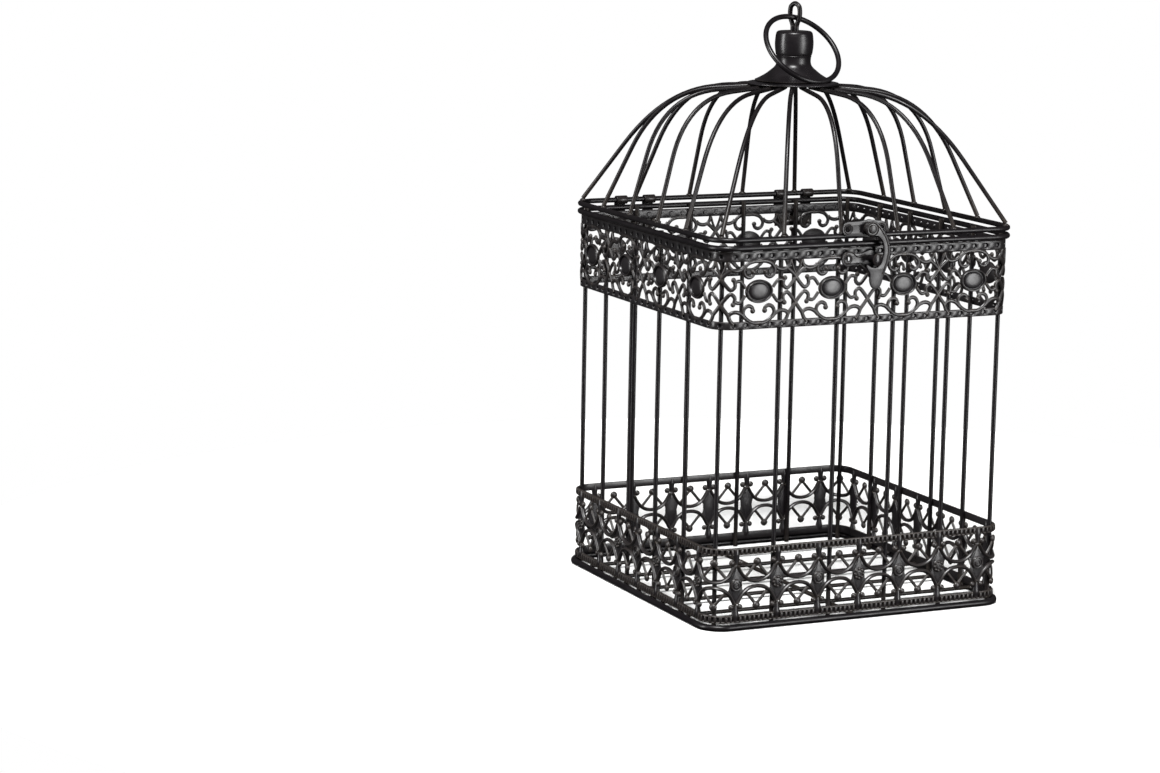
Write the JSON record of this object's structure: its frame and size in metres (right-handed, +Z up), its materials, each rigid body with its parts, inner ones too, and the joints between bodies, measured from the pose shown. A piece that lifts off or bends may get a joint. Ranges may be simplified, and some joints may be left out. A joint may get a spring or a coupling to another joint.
{
  "type": "wedding card box",
  "caption": "Square black wire birdcage for wedding cards: barred body with filigree bands, hinged domed lid, front swing latch and a carry ring on top.",
  "frame": {"origin": "centre of the floor wires' underside, on the surface that the box stands on and on the axis of the square body", "axes": "+Z up, latch side towards -Y, hinges towards +Y, +X to the right seen from the front"},
  "size_m": [0.2046, 0.2121, 0.3612],
  "materials": {
    "satin_black_wire": "satin black stove enamel on drawn steel wire",
    "satin_black_sheet": "satin black stove enamel on pressed and pierced sheet steel",
    "satin_black_fitting": "satin black stove enamel on turned and stamped fittings"
  },
  "bodies": {
    "cage": {"base_ring": "satin_black_wire", "floor_grid": "satin_black_wire", "lower_band": "satin_black_sheet", "upper_band": "satin_black_sheet", "rim_ring": "satin_black_wire", "bar_front_1": "satin_black_wire", "bar_front_2": "satin_black_wire", "bar_front_3": "satin_black_wire", "bar_front_4": "satin_black_wire", "bar_right_1": "satin_black_wire", "bar_right_2": "satin_black_wire", "bar_right_3": "satin_black_wire", "bar_right_4": "satin_black_wire", "bar_back_1": "satin_black_wire", "bar_back_2": "satin_black_wire", "bar_back_3": "satin_black_wire", "bar_back_4": "satin_black_wire", "bar_left_1": "satin_black_wire", "bar_left_2": "satin_black_wire", "bar_left_3": "satin_black_wire", "bar_left_4": "satin_black_wire", "bar_corner_1": "satin_black_wire", "bar_corner_2": "satin_black_wire", "bar_corner_3": "satin_black_wire", "bar_corner_4": "satin_black_wire", "hinge_left": "satin_black_fitting", "hinge_right": "satin_black_fitting", "catch_plate": "satin_black_fitting", "catch_stud": "satin_black_fitting"},
    "lid": {"lid_ring": "satin_black_wire", "rib_front_1": "satin_black_wire", "rib_front_2": "satin_black_wire", "rib_front_3": "satin_black_wire", "rib_front_4": "satin_black_wire", "rib_right_1": "satin_black_wire", "rib_right_2": "satin_black_wire", "rib_right_3": "satin_black_wire", "rib_right_4": "satin_black_wire", "rib_back_1": "satin_black_wire", "rib_back_2": "satin_black_wire", "rib_back_3": "satin_black_wire", "rib_back_4": "satin_black_wire", "rib_left_1": "satin_black_wire", "rib_left_2": "satin_black_wire", "rib_left_3": "satin_black_wire", "rib_left_4": "satin_black_wire", "rib_corner_1": "satin_black_wire", "rib_corner_2": "satin_black_wire", "rib_corner_3": "satin_black_wire", "rib_corner_4": "satin_black_wire", "crown_disc": "satin_black_sheet", "cap": "satin_black_fitting", "eye_loop": "satin_black_wire", "latch_plate": "satin_black_fitting", "latch_pivot": "satin_black_fitting"},
    "latch_hook": {"latch_hook": "satin_black_fitting"},
    "carry_ring": {"carry_ring": "satin_black_wire"}
  },
  "joints": [
    {"name": "lid_hinge", "type": "hinge", "parent": "cage", "child": "lid", "pos_m": [0, 0.1, 0.2309], "axis": [-1, 0, 0], "range_deg": [0, 155]},
    {"name": "latch_swing", "type": "hinge", "parent": "lid", "child": "latch_hook", "pos_m": [-0.0028, -0.1062, 0.2352], "axis": [0, -1, 0], "range_deg": [0, 100]},
    {"name": "carry_swing", "type": "hinge", "parent": "lid", "child": "carry_ring", "pos_m": [0, 0, 0.3513], "axis": [1, 0, 0], "range_deg": [-274, 2]}
  ]
}
